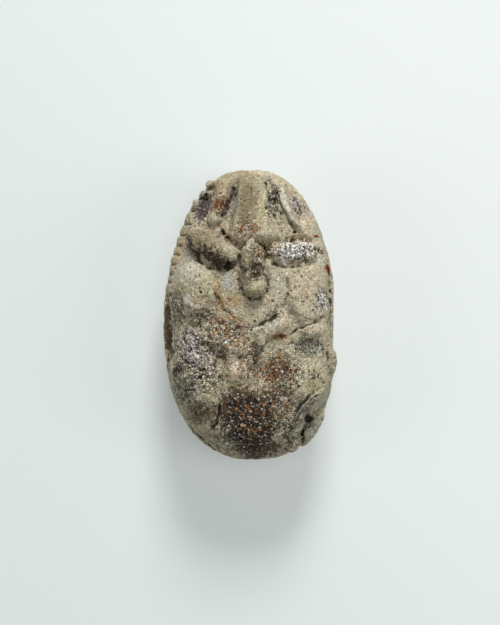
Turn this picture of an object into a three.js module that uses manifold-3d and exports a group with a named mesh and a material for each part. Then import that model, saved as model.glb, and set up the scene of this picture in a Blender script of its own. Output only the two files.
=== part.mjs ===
// A scarab amulet of weathered, granular quartz ceramic, moulded all round as a small beetle.
// It lies as a loose bead does, on its domed back, so its underside faces up: the head, the folded
// legs in relief, the breast shield with the worn lug that it hangs by, and the lumpy belly.
// Millimetres, +Z up, +Y towards the head, origin on the surface it lies on, under its middle.
import * as THREE from "three";
import { mergeVertices } from "three/addons/utils/BufferGeometryUtils.js";
import Module from "manifold-3d";

// Driving sizes.
const LENGTH = 24; // head to tail
const WIDTH = 14.4; // across the wing cases
const BACK_DEPTH = 5.2; // from the rim down to the spot that it lies on
const BELLY_RISE = 3.9; // from the rim up to the crown behind the legs
const REST_WEAR = 0.05; // how deep the top of the domed back is worn flat
const STRING_HOLE = 0.8; // diameter of the hole across the lug
const STRING_HOLE_SEAT = 0.06; // from the breast shield up to that hole

// Facets of the body: round it, from head to tail, and the share of them on the carved side.
const FACETS_ROUND = 50;
const FACETS_LONG = 42;
const BELLY_SHARE = 0.68;
const BACK_LINE_STEPS = 6;

const HALF_LENGTH = LENGTH / 2;
const HALF_WIDTH = WIDTH / 2;
const RIM_Z = BACK_DEPTH;
const { clamp, degToRad, lerp, smoothstep } = THREE.MathUtils;

const wasm = await Module();
wasm.setup();

// Places and sizes of the carving are shares of the body's own size: u across, from -1 at the left
// rim to 1 at the right one, v along, from -1 at the tail to 1 at the head, and the rest of LENGTH.
// A form's turn is anticlockwise from the long axis, in degrees.

// The outline's half width at v, as a share of half the width. The right side is worn straighter.
function outline(v, side) {
  const share = v > 0 ? (1 - v ** 1.6) ** 0.39
    : (1 - Math.min(1, -v) ** 2.6) ** (side < 0 ? 0.47 : 0.38);
  return side < 0 ? share : Math.min(share, 0.957);
}

const bell = (value, middle, half) => Math.exp(-(((value - middle) / half) ** 2));

// The narrow ledge of the wing cases that shows beside the legs, as a share of half the width.
function ledge(v, side) {
  if (side < 0) {
    return 0.015 + 0.085 * bell(v, -0.1, 0.2) + 0.08 * bell(v, -0.88, 0.1);
  }
  return 0.015 + 0.045 * bell(v, 0.12, 0.3) + 0.16 * bell(v, -0.8, 0.15);
}

// Low swellings and hollows that blend into one another. The lower the crown, the rounder the form.
const SWELLINGS = [
  { name: "breast shield", u: 0.012, v: 0.164, wide: 0.235, long: 0.28, turn: 0, rise: 0.01, crown: 0.75 },
  { name: "left middle leg", u: -0.645, v: 0.17, wide: 0.18, long: 0.25, turn: 0, rise: 0.03, crown: 0.45 },
  { name: "right middle leg", u: 0.68, v: 0.145, wide: 0.18, long: 0.25, turn: 0, rise: 0.026, crown: 0.6 },
  { name: "right outer panel", u: 0.56, v: 0.74, wide: 0.065, long: 0.18, turn: 26, rise: -0.014,
    crown: 0.6 },
  { name: "bar below the shield", u: 0.24, v: -0.115, wide: 0.06, long: 0.2, turn: -58, rise: 0.018,
    crown: 0.2 },
  { name: "wedge at the right rim", u: 0.71, v: -0.1, wide: 0.1, long: 0.055, turn: 0, rise: 0.012,
    crown: 0.5 },
  { name: "right belly hollow", u: 0.66, v: -0.225, wide: 0.125, long: 0.075, turn: 0, rise: -0.018,
    crown: 0.3 },
  { name: "left hind leg", u: -0.61, v: -0.41, wide: 0.18, long: 0.39, turn: 16, rise: 0.038, crown: 0.4 },
  { name: "right hind leg", u: 0.69, v: -0.465, wide: 0.18, long: 0.24, turn: -10, rise: 0.026,
    crown: 0.3 },
  { name: "left belly hollow", u: -0.32, v: -0.3, wide: 0.07, long: 0.11, turn: 14, rise: -0.024,
    crown: 0.1 },
  { name: "belly lump by the shield", u: -0.115, v: -0.245, wide: 0.07, long: 0.06, turn: 0, rise: 0.018,
    crown: 0 },
  { name: "belly lump below it", u: -0.16, v: -0.4, wide: 0.1, long: 0.08, turn: 0, rise: 0.016, crown: 0 },
  { name: "right belly lump", u: 0.17, v: -0.285, wide: 0.08, long: 0.085, turn: 0, rise: 0.014, crown: 0 },
  { name: "middle seam", u: 0.035, v: -0.38, wide: 0.04, long: 0.26, turn: 0, rise: -0.018, crown: 0.1 },
  { name: "oblique band", u: 0.6, v: -0.7, wide: 0.07, long: 0.3, turn: -36, rise: 0.018, crown: 0.5 },
];

// How much of a form's rise holds at a point: 1 on its crown, 0 beyond its edge.
function share(x, y, form) {
  const turn = degToRad(form.turn);
  const dx = x - form.u * HALF_WIDTH;
  const dy = y - form.v * HALF_LENGTH;
  const across = (dx * Math.cos(turn) + dy * Math.sin(turn)) / (form.wide * HALF_LENGTH);
  const along = (dy * Math.cos(turn) - dx * Math.sin(turn)) / (form.long * HALF_LENGTH);
  return 1 - smoothstep(Math.hypot(across, along), form.crown, 1);
}

// The head wedge widens from the snout to the front legs, with steep flanks.
const WEDGE = { snout: 0.95, back: 0.52, narrow: 0.04, broad: 0.1, flank: 0.022, rise: 0.034 };

function wedgeRise(x, y) {
  const v = y / HALF_LENGTH;
  const down = clamp((WEDGE.snout - v) / (WEDGE.snout - WEDGE.back), 0, 1);
  const half = lerp(WEDGE.narrow, WEDGE.broad, down ** 1.3) * LENGTH;
  const inside = half - WEDGE.flank * LENGTH;
  const sides = 1 - smoothstep(Math.abs(x - 0.018 * LENGTH * down), inside, half);
  return WEDGE.rise * LENGTH * sides * smoothstep(v, WEDGE.back - 0.04, WEDGE.back + 0.02);
}

// Height of the underside above the rim: a broad crown with steep sides, and the carving on it.
function bellyRise(x, y) {
  const v = y / HALF_LENGTH;
  const side = Math.sign(x) || 1;
  const half = outline(v, side) * (1 - ledge(v, side)) * HALF_WIDTH;
  if (half < 1e-6 || Math.abs(x) >= half) {
    return 0;
  }
  const cross = (1 - (Math.abs(x) / half) ** 3.4) ** 0.5;
  const long = v > 0 ? (1 - v ** 14) ** 0.5 * (1 - 0.5 * smoothstep(v, 0.1, 1.05))
    : (1 - (-v) ** 4.5) ** 0.55;
  const carved = SWELLINGS.reduce((sum, form) => sum + form.rise * LENGTH * share(x, y, form), 0);
  return BELLY_RISE * cross * long
    + (carved + wedgeRise(x, y)) * Math.min(1, 2 * cross) * Math.min(1, 1.5 * long);
}

// Depth of the domed back below the rim.
function backFall(x, y) {
  const v = y / HALF_LENGTH;
  const half = outline(v, Math.sign(x) || 1) * HALF_WIDTH;
  const cross = half > 1e-6 && Math.abs(x) < half ? (1 - (Math.abs(x) / half) ** 2.4) ** 0.62 : 0;
  const long = (1 - Math.min(1, Math.abs(v)) ** 2.8) ** 0.5;
  return (BACK_DEPTH + REST_WEAR) * cross * long;
}

// A closed geometry as a solid that can be joined and cut.
function solid(geometry) {
  geometry.deleteAttribute("normal");
  geometry.deleteAttribute("uv");
  const merged = mergeVertices(geometry, 1e-4);
  return new wasm.Manifold(new wasm.Mesh({
    numProp: 3,
    vertProperties: new Float32Array(merged.attributes.position.array),
    triVerts: new Uint32Array(merged.index.array),
  }));
}

const join = (solids) => solids.reduce((whole, piece) => whole.add(piece));

// The body: a sphere whose poles are the head and the tail, drawn out to the egg-shaped outline.
// On the carved side the outermost facet of each row is the ledge.
function body() {
  const geometry = new THREE.SphereGeometry(1, FACETS_ROUND, FACETS_LONG);
  const position = geometry.attributes.position;
  const uv = geometry.attributes.uv;
  const spread = (t) => 0.4 * Math.sin(t * Math.PI / 2) + 0.6 * t;
  const foot = 1 - 2 / Math.round(FACETS_ROUND * BELLY_SHARE);
  for (let i = 0; i < position.count; i++) {
    const lap = clamp(uv.getX(i), 0, 1);
    const carved = lap <= BELLY_SHARE;
    const across = carved ? 2 * lap / BELLY_SHARE - 1 : 1 - 2 * (lap - BELLY_SHARE) / (1 - BELLY_SHARE);
    const side = Math.sign(across) || 1;
    const v = spread(2 * uv.getY(i) - 1);
    const onLegs = carved && Math.abs(across) < foot + 1e-6;
    const u = onLegs ? spread(across / foot) * (1 - ledge(v, side)) : spread(across);
    const x = u * outline(v, side) * HALF_WIDTH;
    const y = v * HALF_LENGTH;
    position.setXYZ(i, x, y, RIM_Z + (carved ? bellyRise(x, y) : -backFall(x, y)));
  }
  return solid(geometry);
}

// A point on the carved side, lifted above it by a share of the length.
function onBelly([u, v], lift) {
  const x = u * HALF_WIDTH;
  const y = v * HALF_LENGTH;
  return new THREE.Vector3(x, y, RIM_Z + bellyRise(x, y) + lift * LENGTH);
}

// A rounded bar that follows the surface from place to place, such as a thigh, a shin or a channel.
function bar({ places, wide, high, lift, sides = 8 }) {
  const points = places.map((place) => onBelly(place, lift));
  return join(points.slice(1).map((end, i) => {
    const along = end.clone().sub(points[i]);
    const geometry = new THREE.CapsuleGeometry(wide * HALF_LENGTH, along.length(), sides / 4, sides, 1);
    geometry.scale(1, 1, high / wide);
    const forward = along.clone().normalize();
    const side = forward.clone().cross(new THREE.Vector3(0, 0, 1)).normalize();
    const turned = new THREE.Matrix4().makeBasis(side, forward, side.clone().cross(forward));
    const middle = points[i].clone().add(end).multiplyScalar(0.5);
    return solid(geometry.applyMatrix4(turned.setPosition(middle)));
  }));
}

// An egg-shaped lump at a point, or the tool that leaves a hollow of that shape.
function lump({ wide, long, high, turn, sides = 8 }, { x, y, z }) {
  const geometry = new THREE.SphereGeometry(1, sides, sides - 2);
  geometry.scale(wide * HALF_LENGTH, long * HALF_LENGTH, high * HALF_LENGTH);
  return solid(geometry.rotateZ(degToRad(turn)).translate(x, y, z));
}

// A round crease along a smooth line of points.
function crease(points, thick, steps) {
  const section = new THREE.Shape().absarc(0, 0, thick * HALF_LENGTH, 0, 2 * Math.PI);
  return solid(new THREE.ExtrudeGeometry(section, {
    steps, curveSegments: 2, bevelEnabled: false, extrudePath: new THREE.CatmullRomCurve3(points),
  }));
}

const LUG = { places: [[0.023, 0.4], [0.052, 0.19]], wide: 0.088, high: 0.1, lift: 0.002, sides: 12 };

const LEGS = [
  { name: "left front thigh", places: [[-0.59, 0.512], [-0.25, 0.405]], wide: 0.084, high: 0.094,
    lift: -0.006, sides: 12 },
  { name: "right front thigh", places: [[0.31, 0.435], [0.63, 0.42]], wide: 0.077, high: 0.078,
    lift: -0.006, sides: 12 },
  { name: "left shin", places: [[-0.345, 0.88], [-0.37, 0.76], [-0.45, 0.63]], wide: 0.046, high: 0.06,
    lift: -0.004 },
  { name: "right shin", places: [[0.345, 0.88], [0.39, 0.77], [0.47, 0.67], [0.58, 0.565]], wide: 0.026,
    high: 0.045, lift: 0 },
];

const LUMPS = [
  { name: "knob on the lug", place: [0, 0.468], wide: 0.03, long: 0.045, high: 0.05, turn: 0, lift: 0.03 },
  { name: "lump by the left thigh", place: [-0.18, 0.43], wide: 0.05, long: 0.06, high: 0.05, turn: 0,
    lift: 0 },
  { name: "round lump under the shield", place: [0.1, -0.195], wide: 0.035, long: 0.04, high: 0.04,
    turn: 0, lift: 0 },
];

const CHANNELS = [
  { name: "left cheek channel", places: [[-0.2, 0.89], [-0.24, 0.76], [-0.31, 0.585]], wide: 0.022,
    high: 0.06, lift: 0 },
  { name: "right cheek channel", places: [[0.25, 0.88], [0.29, 0.76], [0.37, 0.63]], wide: 0.032,
    high: 0.05, lift: 0 },
  { name: "left outer recess", places: [[-0.46, 0.815], [-0.55, 0.665]], wide: 0.038, high: 0.05, lift: 0 },
];

const PITS = [
  { name: "worn top of the lug", place: [0.085, 0.285], wide: 0.036, long: 0.062, high: 0.045, turn: 3,
    lift: 0.055 },
  { name: "pit by the right thigh", place: [0.79, 0.44], wide: 0.03, long: 0.04, high: 0.08, turn: 0,
    lift: 0 },
  { name: "upper tail cavity", place: [0.69, -0.72], wide: 0.024, long: 0.045, high: 0.1, turn: -42,
    lift: 0.02 },
  { name: "lower tail cavity", place: [0.6, -0.81], wide: 0.024, long: 0.036, high: 0.1, turn: -20,
    lift: 0.035 },
];

const CREASES = [
  { name: "left edge of the shield",
    places: [[-0.39, 0.3], [-0.38, 0.17], [-0.3, 0.04], [-0.18, -0.03], [0.04, -0.08]], thick: 0.015 },
  { name: "right edge of the shield",
    places: [[0.42, 0.3], [0.41, 0.17], [0.36, 0.07], [0.25, -0.01], [0.08, -0.07]], thick: 0.018 },
  { name: "right plate's lower edge", places: [[0.9, -0.005], [0.69, -0.07], [0.47, -0.125]],
    thick: 0.018 },
  { name: "edge of the left hind leg",
    places: [[-0.74, -0.07], [-0.54, -0.12], [-0.42, -0.27], [-0.34, -0.45], [-0.3, -0.64], [-0.4, -0.78]],
    thick: 0.022 },
  { name: "lower left rim", places: [[-0.62, -0.8], [-0.5, -0.87], [-0.38, -0.92]], thick: 0.018 },
  { name: "oblique band's inner edge", places: [[0.8, -0.5], [0.68, -0.56], [0.54, -0.63], [0.42, -0.78]],
    thick: 0.016 },
];

// Forms on the rim: the lobe and the worn toe by the tail, and the foot on the right side.
const RIM_FORMS = [
  { name: "lobe by the tail", place: [0.7, -0.775], wide: 0.055, long: 0.16, high: 0.075, turn: -30,
    rise: 0.018 },
  { name: "worn toe", place: [0.5, -0.88], wide: 0.042, long: 0.075, high: 0.09, turn: -20, rise: 0.04 },
  { name: "right foot", place: [0.935, -0.32], wide: 0.04, long: 0.095, high: 0.08, turn: 0, rise: 0.04 },
];

// The milled edge of the wing cases beside the head: big teeth in front, smaller ones behind.
function milledEdge(side, count, front, back, size) {
  return Array.from({ length: count }, (_, i) => {
    const part = i / (count - 1);
    const v = lerp(front, back, part ** 1.1);
    const thick = size * lerp(1, 0.7, part);
    const x = side * (outline(v, side) * HALF_WIDTH - 0.34 * thick * LENGTH);
    const turn = side * lerp(40, 8, part);
    const tooth = { wide: thick, long: 1.2 * thick, high: 1.7 * thick, turn, sides: 6 };
    return lump(tooth, { x, y: v * HALF_LENGTH, z: RIM_Z + 0.4 * thick * LENGTH });
  });
}

// Lines of the domed back: the seam between the wing cases, and the edges of collar and head.
function backLine(places, thick) {
  return crease(places.map(([u, v]) => {
    const x = u * HALF_WIDTH;
    const y = v * HALF_LENGTH;
    return new THREE.Vector3(x, y, RIM_Z - backFall(x, y));
  }), thick, places.length + 2);
}

// Evenly spaced shares from one end of a back line to the other.
const evenly = (from, to) => (
  Array.from({ length: BACK_LINE_STEPS + 1 }, (_, i) => lerp(from, to, i / BACK_LINE_STEPS)));

const arcAcross = (v, bow, half) => evenly(-half, half).map((u) => [u, v + bow * (1 - (u / half) ** 2)]);

function backLines() {
  const seam = evenly(0.31, -0.93).map((v) => [0, v]);
  return [
    backLine(seam, 0.02),
    backLine(arcAcross(0.38, -0.07, 0.84), 0.022),
    backLine(arcAcross(0.76, -0.08, 0.6), 0.02),
    ...[-1, 1].map((side) => backLine([[0.8 * side, 0.37], [0.72 * side, 0.28], [0.66 * side, 0.17]], 0.02)),
  ];
}

// The hole that runs across the lug, just above the shield.
function stringHole() {
  const [front, back] = LUG.places;
  const seat = onBelly([(front[0] + back[0]) / 2, (front[1] + back[1]) / 2], 0);
  const geometry = new THREE.CylinderGeometry(STRING_HOLE / 2, STRING_HOLE / 2, 2 * LUG.wide * LENGTH, 10);
  geometry.rotateZ(Math.PI / 2);
  return solid(geometry.translate(seat.x, seat.y, seat.z + STRING_HOLE_SEAT + STRING_HOLE / 2));
}

function scarab() {
  const atRim = ({ place: [u, v], rise }) => (
    { x: u * HALF_WIDTH, y: v * HALF_LENGTH, z: RIM_Z + rise * LENGTH });
  const whole = join([
    body(),
    bar(LUG),
    ...LEGS.map(bar),
    ...LUMPS.map((form) => lump(form, onBelly(form.place, form.lift))),
    ...RIM_FORMS.map((form) => lump(form, atRim(form))),
    ...milledEdge(-1, 11, 0.89, 0.19, 0.046),
    ...milledEdge(1, 7, 0.88, 0.34, 0.032),
  ]);
  const below = new THREE.BoxGeometry(2 * WIDTH, 2 * LENGTH, BACK_DEPTH).translate(0, 0, -BACK_DEPTH / 2);
  return [
    ...CHANNELS.map(bar),
    ...PITS.map((form) => lump(form, onBelly(form.place, form.lift))),
    ...CREASES.map(({ places, thick }) => (
      crease(places.map((place) => onBelly(place, 0)), thick, 2 * places.length))),
    ...backLines(),
    stringHole(),
    solid(below),
  ].reduce((rest, tool) => rest.subtract(tool), whole);
}

// The finished solid, with the middle of its outline over the origin.
function centred(manifold) {
  const { numProp, vertProperties, triVerts } = manifold.getMesh();
  const geometry = new THREE.BufferGeometry()
    .setAttribute("position", new THREE.BufferAttribute(new Float32Array(vertProperties), numProp))
    .setIndex(new THREE.BufferAttribute(new Uint32Array(triVerts), 1));
  geometry.computeBoundingBox();
  const middle = geometry.boundingBox.getCenter(new THREE.Vector3());
  return geometry.translate(-middle.x, -middle.y, 0);
}

const weathered = new THREE.MeshStandardMaterial({ color: 0x8a7f6a, roughness: 0.85, metalness: 0 });
const amulet = new THREE.Mesh(centred(scarab()), weathered);
amulet.name = "scarab";

const group = new THREE.Group();
group.add(amulet);
export default group;
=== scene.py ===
# A weathered scarab amulet that lies on its domed back, seen from straight above.
import math

import bpy
import numpy as np
from mathutils import Matrix, Vector, noise


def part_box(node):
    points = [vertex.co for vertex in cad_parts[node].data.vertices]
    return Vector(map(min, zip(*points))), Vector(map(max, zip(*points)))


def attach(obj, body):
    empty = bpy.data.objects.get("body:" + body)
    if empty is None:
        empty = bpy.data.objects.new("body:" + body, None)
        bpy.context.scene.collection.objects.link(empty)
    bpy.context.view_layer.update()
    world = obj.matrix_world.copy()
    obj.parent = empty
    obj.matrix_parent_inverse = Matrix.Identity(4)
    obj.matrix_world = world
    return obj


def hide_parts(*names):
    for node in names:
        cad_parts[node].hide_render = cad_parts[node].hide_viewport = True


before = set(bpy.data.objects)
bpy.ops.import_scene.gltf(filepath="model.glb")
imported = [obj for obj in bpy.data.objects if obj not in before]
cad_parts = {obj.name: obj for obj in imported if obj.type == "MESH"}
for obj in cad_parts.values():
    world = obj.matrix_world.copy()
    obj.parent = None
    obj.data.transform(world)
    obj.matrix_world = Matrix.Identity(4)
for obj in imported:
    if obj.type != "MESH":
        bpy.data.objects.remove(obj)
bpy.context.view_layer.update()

# The amulet is shaped in millimetres and brought to metres when it is done.
MM = 0.001
NODE = "scarab"
low, high = (Vector(corner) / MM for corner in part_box(NODE))
LENGTH = high.y - low.y
WIDTH = high.x - low.x
HALF_LENGTH = LENGTH / 2
HALF_WIDTH = WIDTH / 2
RIM_Z = 0.2167 * LENGTH  # the edge of the wing cases, above the surface it lies on
BACK_DEPTH = RIM_Z
BELLY_RISE = 0.1625 * LENGTH
REST_WEAR = 0.05
STRING_HOLE = 0.8
STRING_HOLE_SEAT = 0.06

VOXEL = 0.075  # size of the facets that the carved forms are fused with
BACK_SHARE = 0.28  # of the back's facets, this share is kept
BELLY_SHARE = 0.62
FACETS = 188000  # of the whole weathered skin
BODY_SEGMENTS, BODY_RINGS = 360, 300
BAR_SEGMENTS, BAR_RINGS = 24, 15
LUMP_SEGMENTS, LUMP_RINGS = 20, 12
DRILL_SEGMENTS = 32
WEAR_ROUNDS = 8  # of smoothing, after the forms are fused
WANDER = 0.055  # how far the carved lines stray, in millimetres
PINHOLES = 420
HOLLOW_ROUNDS, HOLLOW_DEPTH = 6, 0.04  # narrow hollows, darkened with grime and painted shade
VALLEY_ROUNDS, VALLEY_DEPTH = 60, 0.16  # wide ones

# Places and sizes on the body are shares of its own size: u across, from -1 at the left rim to 1 at
# the right one, v along, from -1 at the tail to 1 at the head. Half sizes of egg-shaped places are
# shares of HALF_LENGTH, widths of lines and depths are shares of LENGTH.
# A form's turn is anticlockwise from the long axis, in degrees.

# name, u, v, wide, long, turn, rise, crown: the lower the crown, the rounder the form
SWELLINGS = [
    ("breast shield", 0.012, 0.164, 0.235, 0.28, 0, 0.01, 0.75),
    ("left middle leg", -0.645, 0.17, 0.18, 0.25, 0, 0.03, 0.45),
    ("right middle leg", 0.68, 0.145, 0.18, 0.25, 0, 0.026, 0.6),
    ("right outer panel", 0.56, 0.74, 0.065, 0.18, 26, -0.014, 0.6),
    ("bar below the shield", 0.24, -0.115, 0.06, 0.2, -58, 0.018, 0.2),
    ("wedge at the right rim", 0.71, -0.1, 0.1, 0.055, 0, 0.012, 0.5),
    ("right belly hollow", 0.66, -0.225, 0.125, 0.075, 0, -0.018, 0.3),
    ("left hind leg", -0.61, -0.41, 0.18, 0.39, 16, 0.038, 0.4),
    ("right hind leg", 0.69, -0.465, 0.18, 0.24, -10, 0.026, 0.3),
    ("left belly hollow", -0.32, -0.3, 0.07, 0.11, 14, -0.024, 0.1),
    ("belly lump by the shield", -0.115, -0.245, 0.07, 0.06, 0, 0.018, 0),
    ("belly lump below it", -0.16, -0.4, 0.1, 0.08, 0, 0.016, 0),
    ("right belly lump", 0.17, -0.285, 0.08, 0.085, 0, 0.014, 0),
    ("middle seam", 0.035, -0.38, 0.05, 0.26, 0, -0.012, 0.1),
    ("oblique band", 0.6, -0.7, 0.07, 0.3, -36, 0.018, 0.5),
]

# The photograph looks straight down on the amulet, so a place in it is a place on the body. What was
# noted from it stays in its pixels: places, x to the right and y down, the widths of lines and the
# half sizes of egg-shaped places. Heights and depths are in millimetres on an amulet 24 mm long.
PHOTO_MIDDLE_X, PHOTO_MIDDLE_Y = 250, 314.75
PHOTO_HALF_WIDTH, PHOTO_HALF_LENGTH = 86.85, 144.75
NOTED_LENGTH = 24

# name, places, wide, high, lift of the middle line above the surface
BARS = [
    ("lug", [(252, 256), (254.5, 287)], 12.2, 15.5, 0.1),
    ("left front thigh", [(197.5, 239), (206, 244.5), (216, 250.5), (227.5, 256)], 11.6, 15, 0.1),
    ("right front thigh", [(277.5, 252.5), (291, 252.5), (306, 252.5)], 10.8, 11, -0.14),
    ("left shin", [(223, 186), (219.5, 203), (214, 219)], 7.6, 9, 0.06),
    ("right shin", [(281, 188), (284, 203), (291, 218), (299, 230)], 4.2, 6, 0.0),
]

# name, x, y, wide, long, high, turn, lift
LUMPS = [
    ("knob over the lug", 249.8, 247.5, 4.6, 7, 7, 0, 0.38),
    ("lump by the left thigh", 235, 253.5, 6, 5, 7, 0, 0.0),
    ("round lump under the shield", 260, 341.5, 5, 5, 4.5, 0, 0.0),
    ("lump on the white crust", 303, 250, 6.5, 7, 8, 0, 0.25),
    ("second lump on the crust", 287, 247, 7, 5, 7, 0, 0.3),
    ("third lump on the crust", 291, 257, 6, 5, 7, 0, 0.2),
]

# Forms on the rim: name, x, y, wide, long, high, turn, rise above the rim
RIM_FORMS = [
    ("lobe by the tail", 310.8, 427, 8, 23, 11, -30, 0.43),
    ("worn toe", 293.5, 442, 6.1, 10.9, 13, -20, 0.96),
    ("right foot", 330.5, 361, 6, 13.8, 11.6, 0, 0.96),
    ("first bead", 211, 186, 5.5, 6.2, 8.5, 35, 0.75),
    ("second bead", 205, 194, 7, 5.2, 8.5, 35, 0.8),
    ("third bead", 197.6, 204.3, 5.2, 6.8, 8.5, 20, 0.75),
    ("fourth bead", 193, 217.3, 5.8, 7, 8.5, 15, 0.7),
    ("fifth bead", 187.7, 229.6, 5, 6, 8, 15, 0.65),
    ("sixth bead", 183.6, 240, 4.6, 5.5, 7.6, 12, 0.6),
    ("seventh bead", 179.9, 250, 4.3, 5.3, 7, 12, 0.56),
    ("eighth bead", 176.6, 259.8, 4.2, 5.1, 6.6, 10, 0.5),
    ("ninth bead", 174, 269.5, 4.2, 5, 6.2, 8, 0.46),
    ("tenth bead", 172.5, 278.5, 4.2, 4.8, 6, 5, 0.42),
    ("last bead", 172, 287, 4.2, 4.8, 5.8, 0, 0.4),
    ("first bump of the right rim", 289, 189.5, 5, 6, 5, -30, 0.3),
    ("second bump", 305.6, 212.5, 5, 6, 5, -25, 0.28),
    ("third bump", 310.6, 222, 4.5, 5, 5, -20, 0.26),
    ("fourth bump", 315.2, 231.5, 4.5, 5, 5, -18, 0.26),
    ("fifth bump", 317.6, 238.4, 4.2, 4.5, 4.6, -15, 0.24),
]

# name, places, wide, deep
CHANNELS = [
    ("right cheek channel", [(268.5, 183), (271.5, 191), (272.8, 203), (275, 213), (278, 222)], 9.5, 0.2),
]

# name, places, wide, deep
CREASES = [
    ("under the left thigh", [(190, 249), (200, 259.5), (211, 266), (222, 268.5), (234, 267)], 6, 0.5),
    ("under the right thigh", [(266, 263), (280, 266), (295, 266.5), (312, 263.5)], 3.6, 0.3),
    ("between wedge and left thigh", [(224, 236), (231, 240), (238, 244.5)], 3.4, 0.3),
    ("crevice of the left cheek", [(236, 187), (232.5, 193), (229.5, 202), (225, 213),
        (221, 219)], 2.6, 0.22),
    ("left edge of the left shin", [(213.8, 180), (213.4, 190), (212.8, 200), (209, 210),
        (206.5, 221)], 2.6, 0.24),
    ("front of the wedge", [(240, 179), (245, 174.8), (254.6, 174.3), (261, 179)], 2.0, 0.14),
    ("left edge of the shield", [(216, 268), (214.8, 287), (217, 296), (221.5, 308), (233, 316.5),
        (242, 320.5)], 3.2, 0.14),
    ("right edge of the shield", [(286.2, 273), (286.3, 283), (286, 294), (283.5, 303),
        (281, 311)], 1.9, 0.1),
    ("foot of the shield", [(252, 327.5), (258, 326), (264, 323), (271, 319.5), (277, 315.5),
        (283, 309.5)], 2.4, 0.12),
    ("split under the shield", [(264, 323.3), (270, 320), (277.5, 315)], 3, 0.24),
    ("right plate's lower edge", [(327, 316), (319, 320), (311, 324), (303, 327.5), (294, 332),
        (288, 335)], 3.2, 0.32),
    ("left of the lug", [(241, 250), (240, 262), (240, 275), (241, 288), (246, 297.5)], 4.6, 0.14),
    ("foot of the lug", [(246, 298), (252, 301.5), (260, 299.5), (264, 294)], 3.0, 0.24),
    ("right of the lug", [(263, 248), (265, 262), (266.4, 275), (266.6, 288), (264, 294)], 3.6, 0.12),
    ("across the lug", [(250, 283), (256, 283.8), (262, 281.5)], 2.4, 0.03),
    ("along the lug", [(248, 256), (248.6, 266), (249.5, 276)], 2.6, 0.05),
    ("left rim, gap", [(171.5, 297), (173.2, 310), (173.8, 325), (172.8, 340), (172.5, 352),
        (171, 365)], 3, 0.3),
    ("left rim, inner line", [(176, 301), (179.5, 310), (184.5, 320)], 2.2, 0.22),
    ("left rim, outer line", [(172.5, 300), (175, 309), (179.5, 319), (183, 325)], 2.0, 0.2),
    ("upper edge of the left hind leg", [(184, 322), (191, 324.5), (198, 326), (204, 331.5), (209, 339),
        (214, 349), (217, 360)], 5, 0.2),
    ("inner edge of the left hind leg", [(217, 360), (219, 372), (221.5, 386), (223, 398)], 2.8, 0.14),
    ("crack at the left hind leg's end", [(221.6, 405), (220.5, 411), (217.8, 417), (215.8, 422),
        (213, 425)], 2.6, 0.55),
    ("lower edge of the left hind leg", [(186, 423), (193, 428.5), (199, 432), (206, 437.5), (213, 444),
        (221, 450)], 2.4, 0.26),
    ("gap over the lower left rim", [(193, 431.5), (200, 438), (208, 445), (217, 450.5)], 2.6, 0.26),
    ("middle seam", [(250, 330), (251.5, 340), (253, 350), (254, 362), (254, 378), (256, 398)], 6, 0.05),
    ("left edge of the right panel", [(285.5, 187), (289, 198), (293, 207.5), (298, 217),
        (305, 226)], 2.4, 0.08),
    ("margin of the right panel", [(290, 181), (300, 194), (309, 208), (315, 222), (319, 236)], 2.2, 0.07),
    ("over the right thigh", [(287, 243.5), (294, 240.5), (303, 240.5), (312, 244)], 2, 0.14),
    ("right hind leg's outer edge", [(327, 318), (328, 330), (327.5, 345), (328, 362)], 2.2, 0.2),
    ("right rim's line", [(326, 262), (329.3, 275), (330.2, 290), (330.3, 305), (329.5, 318)], 1.8, 0.22),
    ("first layer line", [(322, 385), (313, 392), (305, 399), (296, 410), (289, 424), (282, 440),
        (277, 452)], 2.6, 0.2),
    ("second layer line", [(318, 394), (309, 401), (300, 411), (293, 424), (287, 437),
        (281, 450)], 2.5, 0.3),
    ("third layer line", [(315, 401), (306, 408), (299, 416), (294, 426)], 2.4, 0.28),
    ("fourth layer line", [(319, 409), (311, 412), (304, 419), (297, 426), (292, 437)], 2.2, 0.15),
    ("fifth layer line", [(291, 433), (287, 441), (284, 450)], 2.4, 0.16),
    ("inner edge of the lobe", [(318, 410), (312, 414), (306, 421), (302, 428), (301.5, 437),
        (301, 447)], 3, 0.32),
    ("end of the left thigh", [(199, 226.5), (190.5, 229), (186.6, 238), (190, 247), (196, 254)], 3, 0.2),
    ("first flute of the left thigh", [(196, 240), (196.5, 247)], 2.2, 0.12),
    ("second flute", [(200, 243), (200.3, 252)], 2.2, 0.13),
    ("third flute", [(205.5, 245), (205.8, 255)], 2.2, 0.13),
    ("fourth flute", [(211, 247), (211.5, 258)], 2.2, 0.12),
    ("fifth flute", [(217, 250), (217.5, 260)], 2.2, 0.1),
    ("crease in the lilac crust", [(181, 338), (190, 347), (197, 352), (206, 354)], 2.4, 0.16),
    ("second crease in it", [(176, 352), (186, 361), (198, 368), (210, 370)], 2.6, 0.18),
    ("third crease in it", [(175, 384), (185, 389), (196, 388), (207, 392)], 2.4, 0.14),
]

# Places and depth of the joints between the beads
RIM_JOINT_WIDTH = 2.9
RIM_JOINTS = [
    ([(200, 188.2), (212.8, 189)], 0.24),
    ([(190, 196.5), (202, 199)], 0.24),
    ([(183, 209), (196, 210.5)], 0.24),
    ([(178, 223), (192, 224.5)], 0.22),
    ([(174, 234), (187, 236)], 0.2),
    ([(171, 244), (182.5, 246)], 0.18),
    ([(168, 253.5), (179.5, 255)], 0.18),
    ([(165.5, 263.5), (176.5, 264.8)], 0.16),
    ([(163.5, 273.5), (173.5, 274.3)], 0.16),
    ([(162, 282), (172, 282.3)], 0.16),
]

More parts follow.
